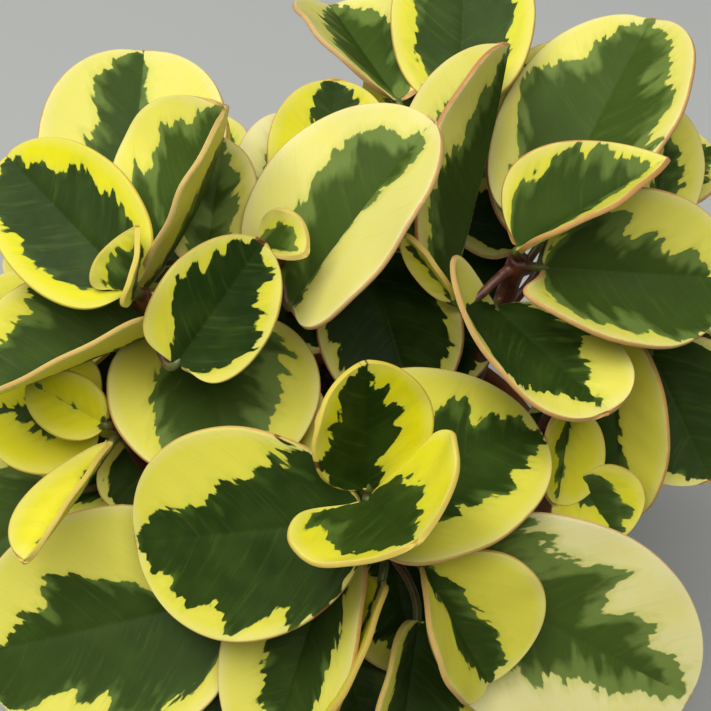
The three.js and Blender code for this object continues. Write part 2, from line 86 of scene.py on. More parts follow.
# Each leaf: name, how far up its stem the stalk leaves, where the blade begins, heading, rise
# and roll of the blade, length, width, what differs from a flat blade, how far the green reaches
# from the midrib on the left and on the right (tenths of the half blade, from base to tip), and
# how yellow its margin, how deep its green and how flushed its rim is, from 0 to 1.
LEAVES = [
    ("a1", 1, (3.6, -75, 228), 93, 69, 20, 43, 41,
     {"fold": 8, "cup": 25, "arch": -10, "mid": 0.5, "tip": 0.56, "lobe": 0},
     "99998877655666530", "22342255553342210", (0.95, 0.95, 0.1)),
    ("a2", 1, (3.5, -77, 224.5), -66, 35, 20, 42, 64,
     {"fold": 10, "cup": 22, "arch": -20, "mid": 0.46, "tip": 0.6, "lobe": 3, "curl": -40},
     "66554444433322100", "87766677665554430", (0.8, 0.7, 0.2)),
    ("a3", 0.93, (3, -79.5, 219), 171, -22, -46, 79, 68,
     {"arch": 14, "mid": 0.53, "tip": 0.5, "lobe": 1},
     "99998898768765641", "99987655543334431", (0.6, 0.8, 0.4)),
    ("a4", 0.93, (-4, -73.5, 219), 31, -11, 14, 75, 67,
     {"fold": 8, "arch": 15, "mid": 0.36, "tip": 0.5, "lobe": 4},
     "55665555566344430", "45566656666555565", (0.6, 0.7, 0.5)),
    ("a5", 0.85, (20.5, -83.5, 199), -48, -46, -8, 45, 60,
     {"fold": 36, "cup": 5, "arch": 0, "tip": 0.48, "lobe": 1},
     "01122333344455430", "03433211233322210", (0.6, 0.65, 0.5)),
    ("a6", 0.75, (27, -74, 184), -15, -27, 40, 96, 75,
     {"cup": 5, "mid": 0.5}, "68987668535534420", "45666655443332210", (0.12, 0.25, 0.4)),
    ("a7", 0.85, (-3, -68, 195), -115, -41, 13, 80, 52,
     {"fold": 22, "cup": 5, "arch": 10}, "6666642", "2334420", (0.5, 0.7, 0.6)),
    ("a8", 0.75, (8, -84, 191), -119, -31, 48, 50, 34,
     {"fold": 10, "cup": 15, "arch": -10, "mid": 0.4}, "3333221", "2100110", (0.8, 0.8, 0.3)),
    ("a9", 0.6, (20, -79.5, 160), -100, -29, -50, 56, 58,
     {"fold": 25, "cup": 5, "arch": 0}, "7777654", "7777654", (0.6, 0.8, 0.3)),
    ("a10", 0.5, (42, -54, 154), -20, -30, 0, 62, 52,
     {"arch": 14}, "5677542", "6776543", (0.5, 0.6, 0.4)),
    ("a11", 0.45, (12, -48, 152), -80, -8, 0, 44, 44,
     {}, "6777652", "5666531", (0.5, 0.9, 0.3)),
    ("b1", 1, (-68, -24, 258.5), 72, 66, -30, 22, 27,
     {"fold": 30, "cup": 35, "arch": -10, "mid": 0.28, "tip": 0.95},
     "6765320", "6666531", (0.8, 0.6, 0.1)),
    ("b2", 0.98, (-68, -22, 259), 134, 13, -30, 61, 46,
     {"cup": 10, "arch": 10, "mid": 0.45, "lobe": 1},
     "45567787788887751", "56777766765444210", (0.9, 0.75, 0.1)),
    ("b3", 0.93, (-71, -7, 237), 50, 45, -38, 68, 84,
     {"fold": 28, "cup": 2, "arch": -36, "mid": 0.66, "tip": 0.38, "lobe": 4},
     "45667866676644431", "12222234444332100", (0.5, 0.4, 0.4)),
    ("b4", 0.94, (-54.7, -37.3, 241), 41, 40, 38, 46, 38,
     {"cup": 12, "arch": 0, "mid": 0.44},
     "22345887766766542", "56789987765567541", (0.7, 0.9, 0.2)),
    ("b5", 0.78, (-75.5, 20, 235), 86, 27, 3, 67, 64,
     {"cup": 10, "arch": 15, "tip": 0.44},
     "33444445445665540", "22222222222211100", (0.4, 0.5, 0.6)),
    ("b6", 0.78, (-49, 9, 234), 78, 45, -2, 42, 32,
     {"fold": 10, "cup": 10, "arch": 0, "lobe": 2}, "5555543", "4555542", (0.4, 0.35, 0.3)),
    ("b7", 0.84, (-62, -16, 233), -159, -8, 7, 67, 60,
     {"fold": 44, "cup": 10, "arch": -10, "mid": 0.46, "lobe": 6},
     "11111111111100000", "56678987766655431", (0.6, 0.6, 0.4)),
    ("b8", 0.78, (-52, -2, 217), -76, -15, -4, 56, 70,
     {"cup": 6, "arch": 15, "mid": 0.46, "tip": 0.5, "lobe": 2},
     "88877666655555431", "34455667777765431", (0.55, 0.4, 0.5)),
    ("b11", 0.6, (-82, 2, 202), 160, -5, 0, 60, 50,
     {}, "5676543", "6666542", (0.6, 0.6, 0.4)),
    ("b12", 0.5, (-78, -20, 190), 112, -4, 0, 44, 44,
     {}, "6777652", "5666531", (0.5, 0.9, 0.3)),
    ("c1", 1, (-30.5, -1, 254.3), -36, 24, 10, 21, 27,
     {"fold": 30, "cup": 40, "arch": 0, "lobe": 1}, "3565420", "2333210", (0.6, 0.4, 0.2)),
    ("c2", 0.93, (-20, -9, 235.5), 36, 42, -6, 74, 69,
     {"fold": 20, "arch": 8, "mid": 0.44, "lobe": 4},
     "23456556666654200", "44321100001133300", (0.3, 0.35, 0.5)),
    ("c3", 0.85, (-10, 23, 241.5), 84, 42, 5, 46, 42,
     {"arch": 0, "tip": 0.46}, "5532353", "5554553", (0.8, 0.8, 0.3)),
    ("c4", 0.8, (-29, 24, 230), 82, 36, 3, 44, 30,
     {"arch": 0}, "5554320", "5555431", (0.1, 0.4, 0.2)),
    ("c5", 0.6, (-26, -12, 204), -100, -16, 0, 50, 44,
     {}, "6666542", "5566543", (0.5, 0.7, 0.4)),
    ("c14", 0.7, (5, 27, 219), -72, -27, 16, 54, 52,
     {"fold": 15, "cup": 10, "arch": 0, "lobe": 2}, "8888765", "8888765", (0.5, 0.9, 0.7)),
    ("c6", 0.5, (-6, 2, 206), 140, -4, 0, 40, 40,
     {}, "6777652", "5666531", (0.4, 0.9, 0.3)),
    ("d1", 0.88, (62, 18.5, 240.5), 60, 25, -20, 83, 68,
     {"fold": 10, "arch": 8, "tip": 0.42},
     "56677899876555520", "67889888877666530", (0.4, 0.35, 0.6)),
    ("d2", 1, (51, -3, 255), 16, 30, -1, 54, 49,
     {"fold": 36, "cup": 15, "arch": 0, "mid": 0.33, "tip": 0.9, "lobe": 0},
     "56777899798775410", "44444444443333210", (0.6, 0.55, 0.7)),
    ("d3", 0.97, (59, -4, 248), 4, -9, 44, 63, 56,
     {"fold": 8, "cup": 14, "arch": 10, "mid": 0.44, "tip": 0.5, "lobe": 16, "curl": -110},
     "56678754543343100", "67788888999999875", (0.5, 0.45, 0.6)),
    ("d4", 0.85, (45, -5.5, 230), -52, 0, -8, 54, 46,
     {"fold": 4, "cup": 6, "arch": -5, "mid": 0.56, "tip": 0.42, "lobe": 12, "curl": -115,
      "ear": 28},
     "67777775444321000", "67889999775443200", (0.5, 0.75, 0.6)),
    ("d5", 0.8, (30, 6, 226), 70, 48, -64, 82, 70,
     {"fold": 42, "arch": -10, "mid": 0.55, "tip": 0.46}, "8887531", "8886542", (0.4, 0.5, 0.8)),
    ("d8", 0.72, (64, 29, 224), 85, 29, 3, 72, 46,
     {"fold": 8, "cup": 5, "arch": 0, "mid": 0.46}, "8888764", "8888764", (0.5, 0.9, 0.9)),
    ("d15", 0.72, (28, 29, 205), -77, -23, 8, 38, 34,
     {"fold": 15, "cup": 10, "arch": 0}, "8888765", "8888765", (0.5, 0.9, 0.5)),
    ("d16", 0.97, (31, -12, 242), 146, 44, -94, 26, 14,
     {"fold": 15, "cup": 10, "arch": 0, "lobe": 1}, "4433210", "5543210", (0.7, 0.6, 0.3)),
    ("e1", 0.95, (-78, -42.3, 207), -122, -12, 18, 47, 26,
     {"fold": 46, "cup": 10, "arch": -10, "mid": 0.68, "tip": 0.42, "lobe": 2},
     "4432000", "2110000", (0.75, 0.6, 0.2)),
    ("e3", 0.65, (-98, -36, 166), -152, -15, -30, 48, 58,
     {"fold": 5, "cup": 5, "arch": 0, "mid": 0.46}, "7888764", "7888764", (0.3, 0.4, 0.3)),
    ("e4", 0.8, (-69, -25, 186), -80, -11, 7, 29, 38,
     {"fold": 5, "cup": 5, "arch": 0}, "7888764", "7888764", (0.6, 0.8, 0.3)),
    ("e5", 0.45, (-82, -44, 150), -172, -22, 0, 58, 50,
     {"arch": 14}, "5676542", "6555431", (0.5, 0.5, 0.4)),
    ("e9", 0.95, (-84, -25, 200), 178, 2, -30, 39, 44,
     {"fold": 5, "cup": 10, "arch": 10, "mid": 0.46}, "3443210", "3332100", (0.9, 0.7, 0.2)),
    ("e10", 1, (-80, -38, 211), 157, 18, -36, 28, 22,
     {"fold": 10, "cup": 10, "arch": 0, "mid": 0.46, "lobe": 0},
     "1100000", "2211210", (0.95, 0.6, 0.1)),
    ("e6", 0.5, (-71, -25, 168), 178, -7, 0, 46, 46,
     {}, "6777652", "5666531", (0.5, 0.8, 0.4)),
    ("f1", 0.85, (-28, -84, 150), -106, -30, 0, 60, 52,
     {}, "6676542", "6777653", (0.5, 0.7, 0.4)),
    ("f2", 1, (-42, -76, 169), -174, -14, -38, 86, 78,
     {"cup": 5, "mid": 0.45}, "67888885755799974", "34543234564332100", (0.5, 0.6, 0.3)),
    ("f3", 0.6, (-4, -78, 140), -74, -30, 0, 58, 50,
     {}, "5666542", "5677652", (0.6, 0.7, 0.4)),
    ("f4", 0.7, (-54, -72, 140), -162, -30, 0, 60, 50,
     {}, "6777652", "5666531", (0.5, 0.6, 0.4)),
    ("g2", 0.8, (100, 24, 206), 15, -8, 0, 46, 46,
     {"arch": 10}, "6766542", "5667653", (0.5, 0.5, 0.5)),
    ("g3", 0.65, (94, 34, 194), 52, -16, 0, 60, 50,
     {"arch": 14}, "5677542", "6776543", (0.5, 0.6, 0.5)),
    ("g4", 0.5, (86, 26, 168), 14, -18, 0, 58, 50,
     {"arch": 14}, "6788764", "6776543", (0.5, 0.7, 0.5)),
    ("g9", 0.95, (99, 31, 234), 76, 29, 44, 40, 32,
     {"fold": 16, "cup": 5, "arch": 0, "mid": 0.46}, "5543210", "5654210", (0.5, 0.6, 0.7)),
    ("g10", 0.8, (84, 0, 210), -82, -42, 35, 62, 42,
     {"fold": 10, "cup": 10, "arch": 0, "mid": 0.46}, "3211110", "6776542", (0.6, 0.7, 0.6)),
    ("g11", 0.8, (100, 3, 198.5), -60, -34, 22, 48, 52,
     {"fold": 10, "cup": 5, "arch": 0, "mid": 0.46}, "8998875", "7888764", (0.4, 0.75, 0.5)),
    ("h2", 0.75, (6, 62, 206), 92, -8, 0, 60, 50,
     {"arch": 10}, "5667642", "6776542", (0.5, 0.5, 0.4)),
    ("h3", 0.85, (-6, 56, 222), 150, 0, 0, 40, 38,
     {"arch": 10}, "6677653", "4556542", (0.6, 0.6, 0.3)),
    ("h4", 0.85, (24, 66, 228), 88, 8, 0, 54, 46,
     {"arch": 10}, "5665431", "6777653", (0.6, 0.5, 0.4)),
    ("h6", 1, (14, 61, 259), 116, 2, 18, 53, 66,
     {"fold": 26, "cup": 5, "arch": 0, "mid": 0.46, "lobe": 1},
     "67777666555444320", "33444444555544320", (0.35, 0.45, 0.5)),
    ("h7", 0.95, (35, 61, 257), 87, 28, -4, 62, 50,
     {"fold": 10, "cup": 5, "arch": 0}, "7777653", "7777653", (0.7, 0.6, 0.4)),
    ("k12", 1, (71, -22, 198), -101, -29, -37, 32, 28,
     {"fold": 20, "cup": 10, "arch": 0, "lobe": 2}, "4321100", "5654431", (0.8, 0.6, 0.3)),
    ("k13", 0.9, (73, -41, 185), -50, -27, 25, 24, 34,
     {"fold": 10, "cup": 10, "arch": 0, "lobe": 2}, "4666530", "2321000", (0.8, 0.6, 0.3)),
    ("k17", 0.6, (58, -6, 166), -15, -22, 0, 50, 44,
     {}, "6766542", "6677652", (0.5, 0.7, 0.4)),
    ("i1", 1, (-52, 60, 226), 120, 60, 0, 34, 26,
     {"fold": 10, "cup": 20, "arch": -10}, "5776553", "4566542", (0.9, 0.8, 0.1)),
    ("i2", 0.92, (-62, 54, 214), 195, 10, 0, 54, 46,
     {"arch": 10}, "5677652", "4456642", (0.6, 0.6, 0.3)),
    ("i3", 0.9, (-54, 72, 205), 108, -8, 0, 50, 46,
     {}, "6788753", "5776542", (0.5, 0.6, 0.4)),
    ("i4", 0.7, (-68, 52, 190), 165, -10, 0, 64, 54,
     {"arch": 14}, "5676542", "6788764", (0.5, 0.5, 0.4)),
    ("i5", 0.7, (-42, 74, 190), 70, -14, 0, 62, 50,
     {"arch": 14}, "6654321", "5677652", (0.4, 0.5, 0.5)),
    ("i6", 0.5, (-60, 66, 166), 130, -24, 0, 68, 58,
     {"arch": 14}, "7788764", "6777653", (0.5, 0.6, 0.4)),
    ("j1", 1, (64, 63, 232), 70, 30, 0, 44, 36,
     {"fold": 10, "cup": 15, "arch": -5}, "5677543", "4566542", (0.85, 0.8, 0.1)),
    ("j2", 0.9, (76, 60, 210), 25, 4, 0, 60, 50,
     {}, "4566542", "6778754", (0.5, 0.5, 0.5)),
    ("j3", 0.85, (68, 76, 208), 85, -6, 0, 60, 50,
     {}, "6777653", "4454321", (0.5, 0.6, 0.4)),
    ("j4", 0.65, (50, 72, 186), 112, -18, 0, 64, 52,
     {"arch": 14}, "6777653", "5666542", (0.5, 0.6, 0.5)),
    ("j5", 0.55, (78, 66, 176), 40, -20, 0, 66, 54,
     {"arch": 14}, "7788764", "6677652", (0.4, 0.5, 0.4)),
    ("j6", 0.5, (58, 50, 178), 165, 0, 0, 37, 44,
     {}, "7777653", "8887654", (0.4, 0.9, 0.5)),
    ("j7", 0.7, (58, 49, 200), 125, 2, 0, 36, 38,
     {}, "6777652", "5666531", (0.4, 0.9, 0.3)),
]
FLAT = {"fold": 6, "cup": 8, "arch": 12, "mid": 0.5, "tip": 0.52, "lobe": 3, "curl": 0,
        "ear": 0}


# ---- modelling helpers ---------------------------------------------------------------------
def deselect():
    if bpy.context.object and bpy.context.object.mode != "OBJECT":
        bpy.ops.object.mode_set(mode="OBJECT")
    bpy.ops.object.select_all(action="DESELECT")


def named(name):
    """The object just added, under its name."""
    piece = bpy.context.object
    piece.name = piece.data.name = name
    return piece


def only(piece):
    deselect()
    piece.select_set(True)
    bpy.context.view_layer.objects.active = piece


def coordinates(piece):
    points = np.empty(len(piece.data.vertices) * 3)
    piece.data.vertices.foreach_get("co", points)
    return points.reshape(-1, 3)


def move_to(piece, points):
    piece.data.vertices.foreach_set("co", np.asarray(points, float).ravel())
    piece.data.update()


def apply_modifier(piece, kind, **settings):
    only(piece)
    modifier = piece.modifiers.new(kind.title(), kind)
    for key, value in settings.items():
        setattr(modifier, key, value)
    bpy.ops.object.modifier_apply(modifier=modifier.name)


def smooth(piece, angle=None):
    only(piece)
    if angle is None:
        bpy.ops.object.shade_smooth()
    else:
        bpy.ops.object.shade_smooth_by_angle(angle=math.radians(angle))


def attribute(piece, name, values, kind="FLOAT"):
    values = np.asarray(values, float)
    field = {"FLOAT": "value", "FLOAT_VECTOR": "vector", "FLOAT_COLOR": "color"}[kind]
    layer = piece.data.attributes.new(name, kind, "POINT")
    layer.data.foreach_set(field, values.ravel())


def finish_piece(piece, material, slot, *nodes):
    piece.data.materials.clear()
    piece.data.materials.append(material)
    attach(piece, "root")
    if nodes:
        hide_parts(*nodes)


# ---- materials -----------------------------------------------------------------------------
def colour(hexcode):
    """An sRGB hex value as linear red, green, blue and alpha."""
    parts = [int(hexcode[i:i + 2], 16) / 255 for i in (1, 3, 5)]
    return [p / 12.92 if p <= 0.04045 else ((p + 0.055) / 1.055) ** 2.4 for p in parts] + [1]


def material(name):
    made = bpy.data.materials.new(name)
    made.use_nodes = True
    return made, made.node_tree, made.node_tree.nodes["Principled BSDF"]


def add(tree, kind, settings=None, **inputs):
    """A node with its settings. An input is a value or the socket that it is linked from, and
    in0, in1 ... are inputs by number."""
    node = tree.nodes.new("ShaderNode" + kind)
    for key, value in (settings or {}).items():
        setattr(node, key, value)
    for key, value in inputs.items():
        number = key[2:] if key.startswith("in") else ""
        socket = node.inputs[int(number) if number.isdigit() else key.replace("_", " ")]
        if isinstance(value, bpy.types.NodeSocket):
            tree.links.new(value, socket)
        else:
            socket.default_value = value
    return node


def maths(tree, operation, *values, clamp=False):
    settings = {"operation": operation, "use_clamp": clamp}
    return add(tree, "Math", settings, **{f"in{i}": v for i, v in enumerate(values)}).outputs[0]


def blend(tree, factor, a, b):
    """From a to b as the factor goes from 0 to 1."""
    return add(tree, "Mix", {"data_type": "RGBA"}, in0=factor, in6=a, in7=b).outputs[2]


def sway(tree, pattern, amount, onto):
    """Moves a value up and down by a pattern whose middle is 0.5."""
    return maths(tree, "MULTIPLY_ADD", maths(tree, "SUBTRACT", pattern, 0.5), amount, onto)


def partly(tree, share, pattern):
    return maths(tree, "MULTIPLY", pattern, share)


def between(tree, value, low, high, to_low=0.0, to_high=1.0):
    """value from low to high, eased into to_low to to_high."""
    return add(tree, "MapRange", {"interpolation_type": "SMOOTHSTEP"}, in0=value, in1=low,
               in2=high, in3=to_low, in4=to_high).outputs[0]


def noise(tree, vector, scale, detail=2.0, roughness=0.5):
    return add(tree, "TexNoise", Vector=vector, Scale=scale, Detail=detail,
               Roughness=roughness).outputs[0]


def leaf_material():
    """Living peperomia leaf: thick and waxy, grown green with cream and yellow margins. The wax
    gives a broad soft gloss, the thick flesh lets a little light through, and the green ends in
    ragged fingers that follow the side veins."""
    made, tree, shader = material("waxy_variegated_leaf")
    vein = add(tree, "Attribute", {"attribute_name": "vein"}).outputs["Vector"]
    reach = add(tree, "Attribute", {"attribute_name": "reach"}).outputs["Fac"]
    rim = add(tree, "Attribute", {"attribute_name": "rim"}).outputs["Fac"]
    tone = add(tree, "SeparateColor", Color=add(
        tree, "Attribute", {"attribute_name": "tone"}).outputs["Color"]).outputs
    here = add(tree, "TexCoord").outputs["Object"]

    def along_veins(across, out, detail, roughness=0.5):
        """A pattern in millimetres, drawn out along the side veins."""
        stretched = add(tree, "VectorMath", {"operation": "MULTIPLY"}, in0=vein,
                        in1=(across, out, 1)).outputs[0]
        return noise(tree, stretched, 1.0, detail, roughness)

    fingers = between(tree, along_veins(0.14, 0.08, 0.0), 0.36, 0.64)   # blunt, 7 mm wide
    lobes = between(tree, along_veins(0.3, 0.2, 0.0), 0.4, 0.6)         # 3 mm wide
    teeth = along_veins(0.8, 0.6, 1.0, 0.5)                             # 1 to 2 mm
    streaks = along_veins(0.6, 0.06, 3.0, 0.6)
    bands = along_veins(0.16, 0.02, 1.0)
    mottle = noise(tree, here, 260, 3.0, 0.6)     # 4 mm cloudiness
    cloud = noise(tree, here, 70, 2.0, 0.5)       # 15 mm unevenness of growth
    speckle = noise(tree, here, 1400, 2.0, 0.7)   # under 1 mm
    edge = sway(tree, fingers, 1.6, reach)
    edge = sway(tree, lobes, 1.8, edge)
    edge = sway(tree, teeth, 1.8, edge)
    edge = sway(tree, speckle, 0.4, edge)
    green_here = between(tree, edge, -0.4, 0.4)
    halo = between(tree, edge, -4.0, 0.0)
    # inside the patch: a deep green heart, and a paler grey-green where only one layer is green
    heart = sway(tree, bands, 22.0, edge)
    heart = sway(tree, cloud, 16.0, heart)
    heart = maths(tree, "MULTIPLY_ADD", tone[1], 16.0, heart)
    heart = between(tree, heart, 7.0, 14.0)
    deep = blend(tree, tone[1], colour("#4d6323"), colour("#142b03"))
    pale = blend(tree, tone[1], colour("#86994c"), colour("#30500a"))
    green = blend(tree, heart, pale, deep)
    green = blend(tree, partly(tree, 0.16, between(tree, streaks, 0.5, 0.8)),
                  green, colour("#748a38"))
    green = blend(tree, partly(tree, 0.25, between(tree, cloud, 0.4, 0.7)),
                  green, colour("#4c6222"))
    yellow = maths(tree, "SUBTRACT", 1.0, tone[0])
    yellow = maths(tree, "MULTIPLY_ADD", yellow, maths(tree, "MULTIPLY", yellow, -1.0), 1.0)
    margin = blend(tree, yellow, colour("#f0e8b0"), colour("#e3db12"))
    margin = blend(tree, partly(tree, 0.3, between(tree, cloud, 0.4, 0.7)),
                   margin, colour("#e9dc58"))
    margin = blend(tree, partly(tree, 0.3, halo), margin, colour("#b9c23c"))
    # a shade of green in the margin where the side veins run on into it
    margin = blend(tree, partly(tree, 0.2, between(tree, streaks, 0.55, 0.8)),
                   margin, colour("#c2c64c"))
    # painted highlight: the margin pales over the last few millimetres, where the thick edge
    # rounds over
    painted_rim_highlight = maths(tree, "MULTIPLY_ADD", tone[0], -0.35, 0.5)
    margin = blend(tree, partly(tree, painted_rim_highlight, between(tree, rim, 5.0, 0.5)),
                   margin, colour("#f2e6b0"))
    skin = blend(tree, green_here, margin, green)
    # the flushed rim, half a millimetre wide and broken up
    flush = sway(tree, mottle, 0.7, rim)
    flush = maths(tree, "MULTIPLY", between(tree, flush, 0.7, 0.0),
                  maths(tree, "MULTIPLY_ADD", tone[2], 0.8, 0.2, clamp=True))
    skin = blend(tree, flush, skin, colour("#bf6f4c"))
    tree.links.new(skin, shader.inputs["Base Color"])
    tree.links.new(between(tree, mottle, 0.3, 0.8, 0.44, 0.56), shader.inputs["Roughness"])
    shader.inputs["IOR"].default_value = 1.42
    shader.inputs["Specular IOR Level"].default_value = 0.14
    shader.inputs["Subsurface Weight"].default_value = 0.1
    shader.inputs["Subsurface Radius"].default_value = (0.6, 1.0, 0.2)
    shader.inputs["Subsurface Scale"].default_value = 0.002
    relief = maths(tree, "MULTIPLY_ADD", streaks, 0.5, maths(tree, "MULTIPLY", speckle, 0.25))
    bump = add(tree, "Bump", Strength=0.25, Distance=0.0006, Height=relief)
    tree.links.new(bump.outputs[0], shader.inputs["Normal"])
    return made


def stem_material():
    """Succulent stem: smooth flesh flushed maroon, with pale leaf scars; its leaf stalks turn
    dull green towards the blades."""
    made, tree, shader = material("succulent_stem")
    along = add(tree, "Attribute", {"attribute_name": "stalk"}).outputs["Fac"]
    here = add(tree, "TexCoord").outputs["Object"]
    blotches = noise(tree, here, 180, 3.0, 0.6)   # 5 mm blotches
    specks = noise(tree, here, 900, 2.0)
    maroon = blend(tree, between(tree, blotches, 0.35, 0.7), colour("#4a1f1a"), colour("#6b3a26"))
    stalk = blend(tree, between(tree, blotches, 0.35, 0.7), colour("#626a2c"), colour("#545c28"))
    reddened = sway(tree, blotches, 0.8, along)
    skin = blend(tree, between(tree, reddened, 0.35, 0.95), maroon, stalk)
    skin = blend(tree, partly(tree, 0.4, between(tree, specks, 0.62, 0.75)), skin,
                 colour("#b08a5a"))
    tree.links.new(skin, shader.inputs["Base Color"])
    shader.inputs["Roughness"].default_value = 0.42
    bump = add(tree, "Bump", Strength=0.3, Distance=0.0004, Height=blotches)
    tree.links.new(bump.outputs[0], shader.inputs["Normal"])
    return made


def clay_material():
    """Unglazed terracotta: fired earthenware, turned on a wheel, so it is matt and fine grained,
    with faint rings and a chalky bloom where water has dried."""
    made, tree, shader = material("unglazed_terracotta")
    here = add(tree, "TexCoord").outputs["Object"]
    height = add(tree, "SeparateXYZ", Vector=here).outputs[2]
    cloud = noise(tree, here, 22, 4.0, 0.6)       # 45 mm clouds
    grain = noise(tree, here, 1600, 2.0, 0.6)     # 0.6 mm grit
    rings = noise(tree, add(tree, "Mapping", Vector=here, Scale=(2, 2, 420)).outputs[0], 1.0, 2.0)
    body = blend(tree, between(tree, cloud, 0.3, 0.7), colour("#a4603f"), colour("#bb7650"))
    body = blend(tree, partly(tree, 0.35, between(tree, grain, 0.55, 0.8)), body,
                 colour("#8a4c33"))
    bloom = maths(tree, "ADD", between(tree, height, 0.035, 0.0),
                  between(tree, height, 0.104, 0.118), clamp=True)
    bloom = maths(tree, "MULTIPLY", bloom, between(tree, cloud, 0.45, 0.68))
    body = blend(tree, partly(tree, 0.5, bloom), body, colour("#cfb9a3"))
    tree.links.new(body, shader.inputs["Base Color"])
    tree.links.new(between(tree, cloud, 0.3, 0.7, 0.78, 0.92), shader.inputs["Roughness"])
    relief = maths(tree, "MULTIPLY_ADD", rings, 0.7, maths(tree, "MULTIPLY", grain, 0.4))
    bump = add(tree, "Bump", Strength=0.35, Distance=0.0006, Height=relief)
    tree.links.new(bump.outputs[0], shader.inputs["Normal"])
    return made


def soil_material():
    """Potting soil: damp dark peat with paler bits of bark and fibre, crumbly and quite matt."""
    made, tree, shader = material("potting_soil")
    here = add(tree, "TexCoord").outputs["Object"]
    crumbs = noise(tree, here, 420, 3.0, 0.7)     # 2 mm crumbs
    bits = add(tree, "TexVoronoi", Vector=here, Scale=240).outputs["Color"]
    bit = add(tree, "SeparateColor", Color=bits).outputs[0]
    earth = blend(tree, between(tree, crumbs, 0.3, 0.7), colour("#1d1510"), colour("#3d2d20"))
    earth = blend(tree, between(tree, bit, 0.86, 0.9), earth, colour("#6b5139"))
    tree.links.new(earth, shader.inputs["Base Color"])
    shader.inputs["Roughness"].default_value = 0.95
    bump = add(tree, "Bump", Strength=0.6, Distance=0.001, Height=crumbs)
    tree.links.new(bump.outputs[0], shader.inputs["Normal"])
    return made


def floor_material():
    """Matt pale grey studio paper: no gloss, a faint unevenness."""
    made, tree, shader = material("studio_paper")
    here = add(tree, "TexCoord").outputs["Object"]
    tint = blend(tree, noise(tree, here, 3, 2.0), colour("#b9bab6"), colour("#bebfbb"))
    tree.links.new(tint, shader.inputs["Base Color"])
    shader.inputs["Roughness"].default_value = 0.95
    return made


LEAF, STEM, CLAY, SOIL = leaf_material(), stem_material(), clay_material(), soil_material()

# ---- floor and light -----------------------------------------------------------------------
deselect()
bpy.ops.mesh.primitive_plane_add(size=6)
floor = named("floor")
floor.data.materials.append(floor_material())


def soft_light(name, place, size, watts):
    """A square white lamp turned to the foliage."""
    bpy.ops.object.light_add(type="AREA", location=place)
    lamp = bpy.context.object
    lamp.name = name
    aim = Vector((0, 0, TARGET_HEIGHT)) - Vector(place)
    lamp.rotation_euler = aim.to_track_quat("-Z", "Y").to_euler()
    lamp.data.size = size
    lamp.data.energy = watts


soft_light("window_light", (-0.8, 0.0, 1.7), 1.2, 17.5)
soft_light("overhead_light", (0.1, -0.5, 1.9), 1.4, 22)
world = bpy.data.worlds.new("studio")
world.use_nodes = True
sky = world.node_tree.nodes["Background"].inputs
sky["Color"].default_value = colour("#dfe5ea")
sky["Strength"].default_value = 0.16
bpy.context.scene.world = world


# ---- pot -----------------------------------------------------------------------------------
def ring_up(radius, height, last):
    """Extrudes the selected ring to the next radius and height of a turned profile."""
    bpy.ops.mesh.extrude_region_move(
        TRANSFORM_OT_translate={"value": (0, 0, (height - last[1]) * MM)})
    if abs(radius - last[0]) > 1e-6:
        bpy.ops.transform.resize(value=(radius / last[0], radius / last[0], 1),
                                 center_override=(0, 0, height * MM))
    return radius, height


def turned(name, corners, sides):
    """A surface of revolution: (radius, height) from the edge of the underside, round the
    outside and back to the middle of the inside. Its underside is still open."""
    deselect()
    bpy.ops.mesh.primitive_circle_add(vertices=sides, radius=corners[0][0] * MM,
                                      fill_type="NOTHING", location=(0, 0, corners[0][1] * MM))
    bpy.ops.object.transform_apply(location=True)
    piece = named(name)
    bpy.ops.object.mode_set(mode="EDIT")
    bpy.ops.mesh.select_all(action="SELECT")
    last = corners[0]
    for corner in corners[1:]:
        last = ring_up(*corner, last)
    bpy.ops.mesh.merge(type="CENTER")
    bpy.ops.mesh.select_all(action="SELECT")
    bpy.ops.mesh.remove_doubles(threshold=1e-6)
    bpy.ops.object.mode_set(mode="OBJECT")
    return piece


def close_and_turn_out(piece):
    only(piece)
    bpy.ops.object.mode_set(mode="EDIT")
    bpy.ops.mesh.select_all(action="DESELECT")
    bpy.ops.mesh.select_mode(type="EDGE")
    bpy.ops.mesh.select_non_manifold()
    bpy.ops.mesh.edge_face_add()
    bpy.ops.mesh.select_all(action="SELECT")
    bpy.ops.mesh.normals_make_consistent(inside=False)
    bpy.ops.object.mode_set(mode="OBJECT")


POT_SIDES, SOIL_SIDES = 120, 96
POT_PROFILE = [
    (48, 0), (50, 2), (60.7, 54), (70, 106), (73.6, 106.2), (75, 108), (75, 127.6), (74.4, 129.3),
    (73, 130), (71.4, 129.8), (70.2, 128.4), (65.2, 107), (65, 105), (46.4, 9), (44, 7), (20, 7),
    (3, 7)]
pot = turned("pot", POT_PROFILE, POT_SIDES)
close_and_turn_out(pot)
apply_modifier(pot, "BEVEL", width=0.0007, segments=3, limit_method="ANGLE",
               angle_limit=math.radians(25))
points = coordinates(pot)
angle = np.arctan2(points[:, 1], points[:, 0])
radius = np.hypot(points[:, 0], points[:, 1])
THROWN = 0.12   # how far the wall strays from round
wobble = THROWN * MM * (np.sin(2 * angle + 0.6) + 0.6 * np.sin(5 * angle + points[:, 2] * 60))
keep = (points[:, 2] > 1 * MM) & (radius > 30 * MM)
points[:, :2] *= (1 + np.where(keep, -abs(wobble) / np.maximum(radius, 1e-6), 0))[:, None]
move_to(pot, points)
smooth(pot, 35)
finish_piece(pot, CLAY, "clay", "pot")


# ---- soil ----------------------------------------------------------------------------------
SOIL_HUMPS, SOIL_CRUMBS = 420, 620


def inside_radius(z):
    """The pot's inner radius at a height: its wall, then the wider part inside its rim."""
    return 46 + 19 * (z - 7) / 99 if z <= 106 else 65 + 5 * (z - 106) / 24


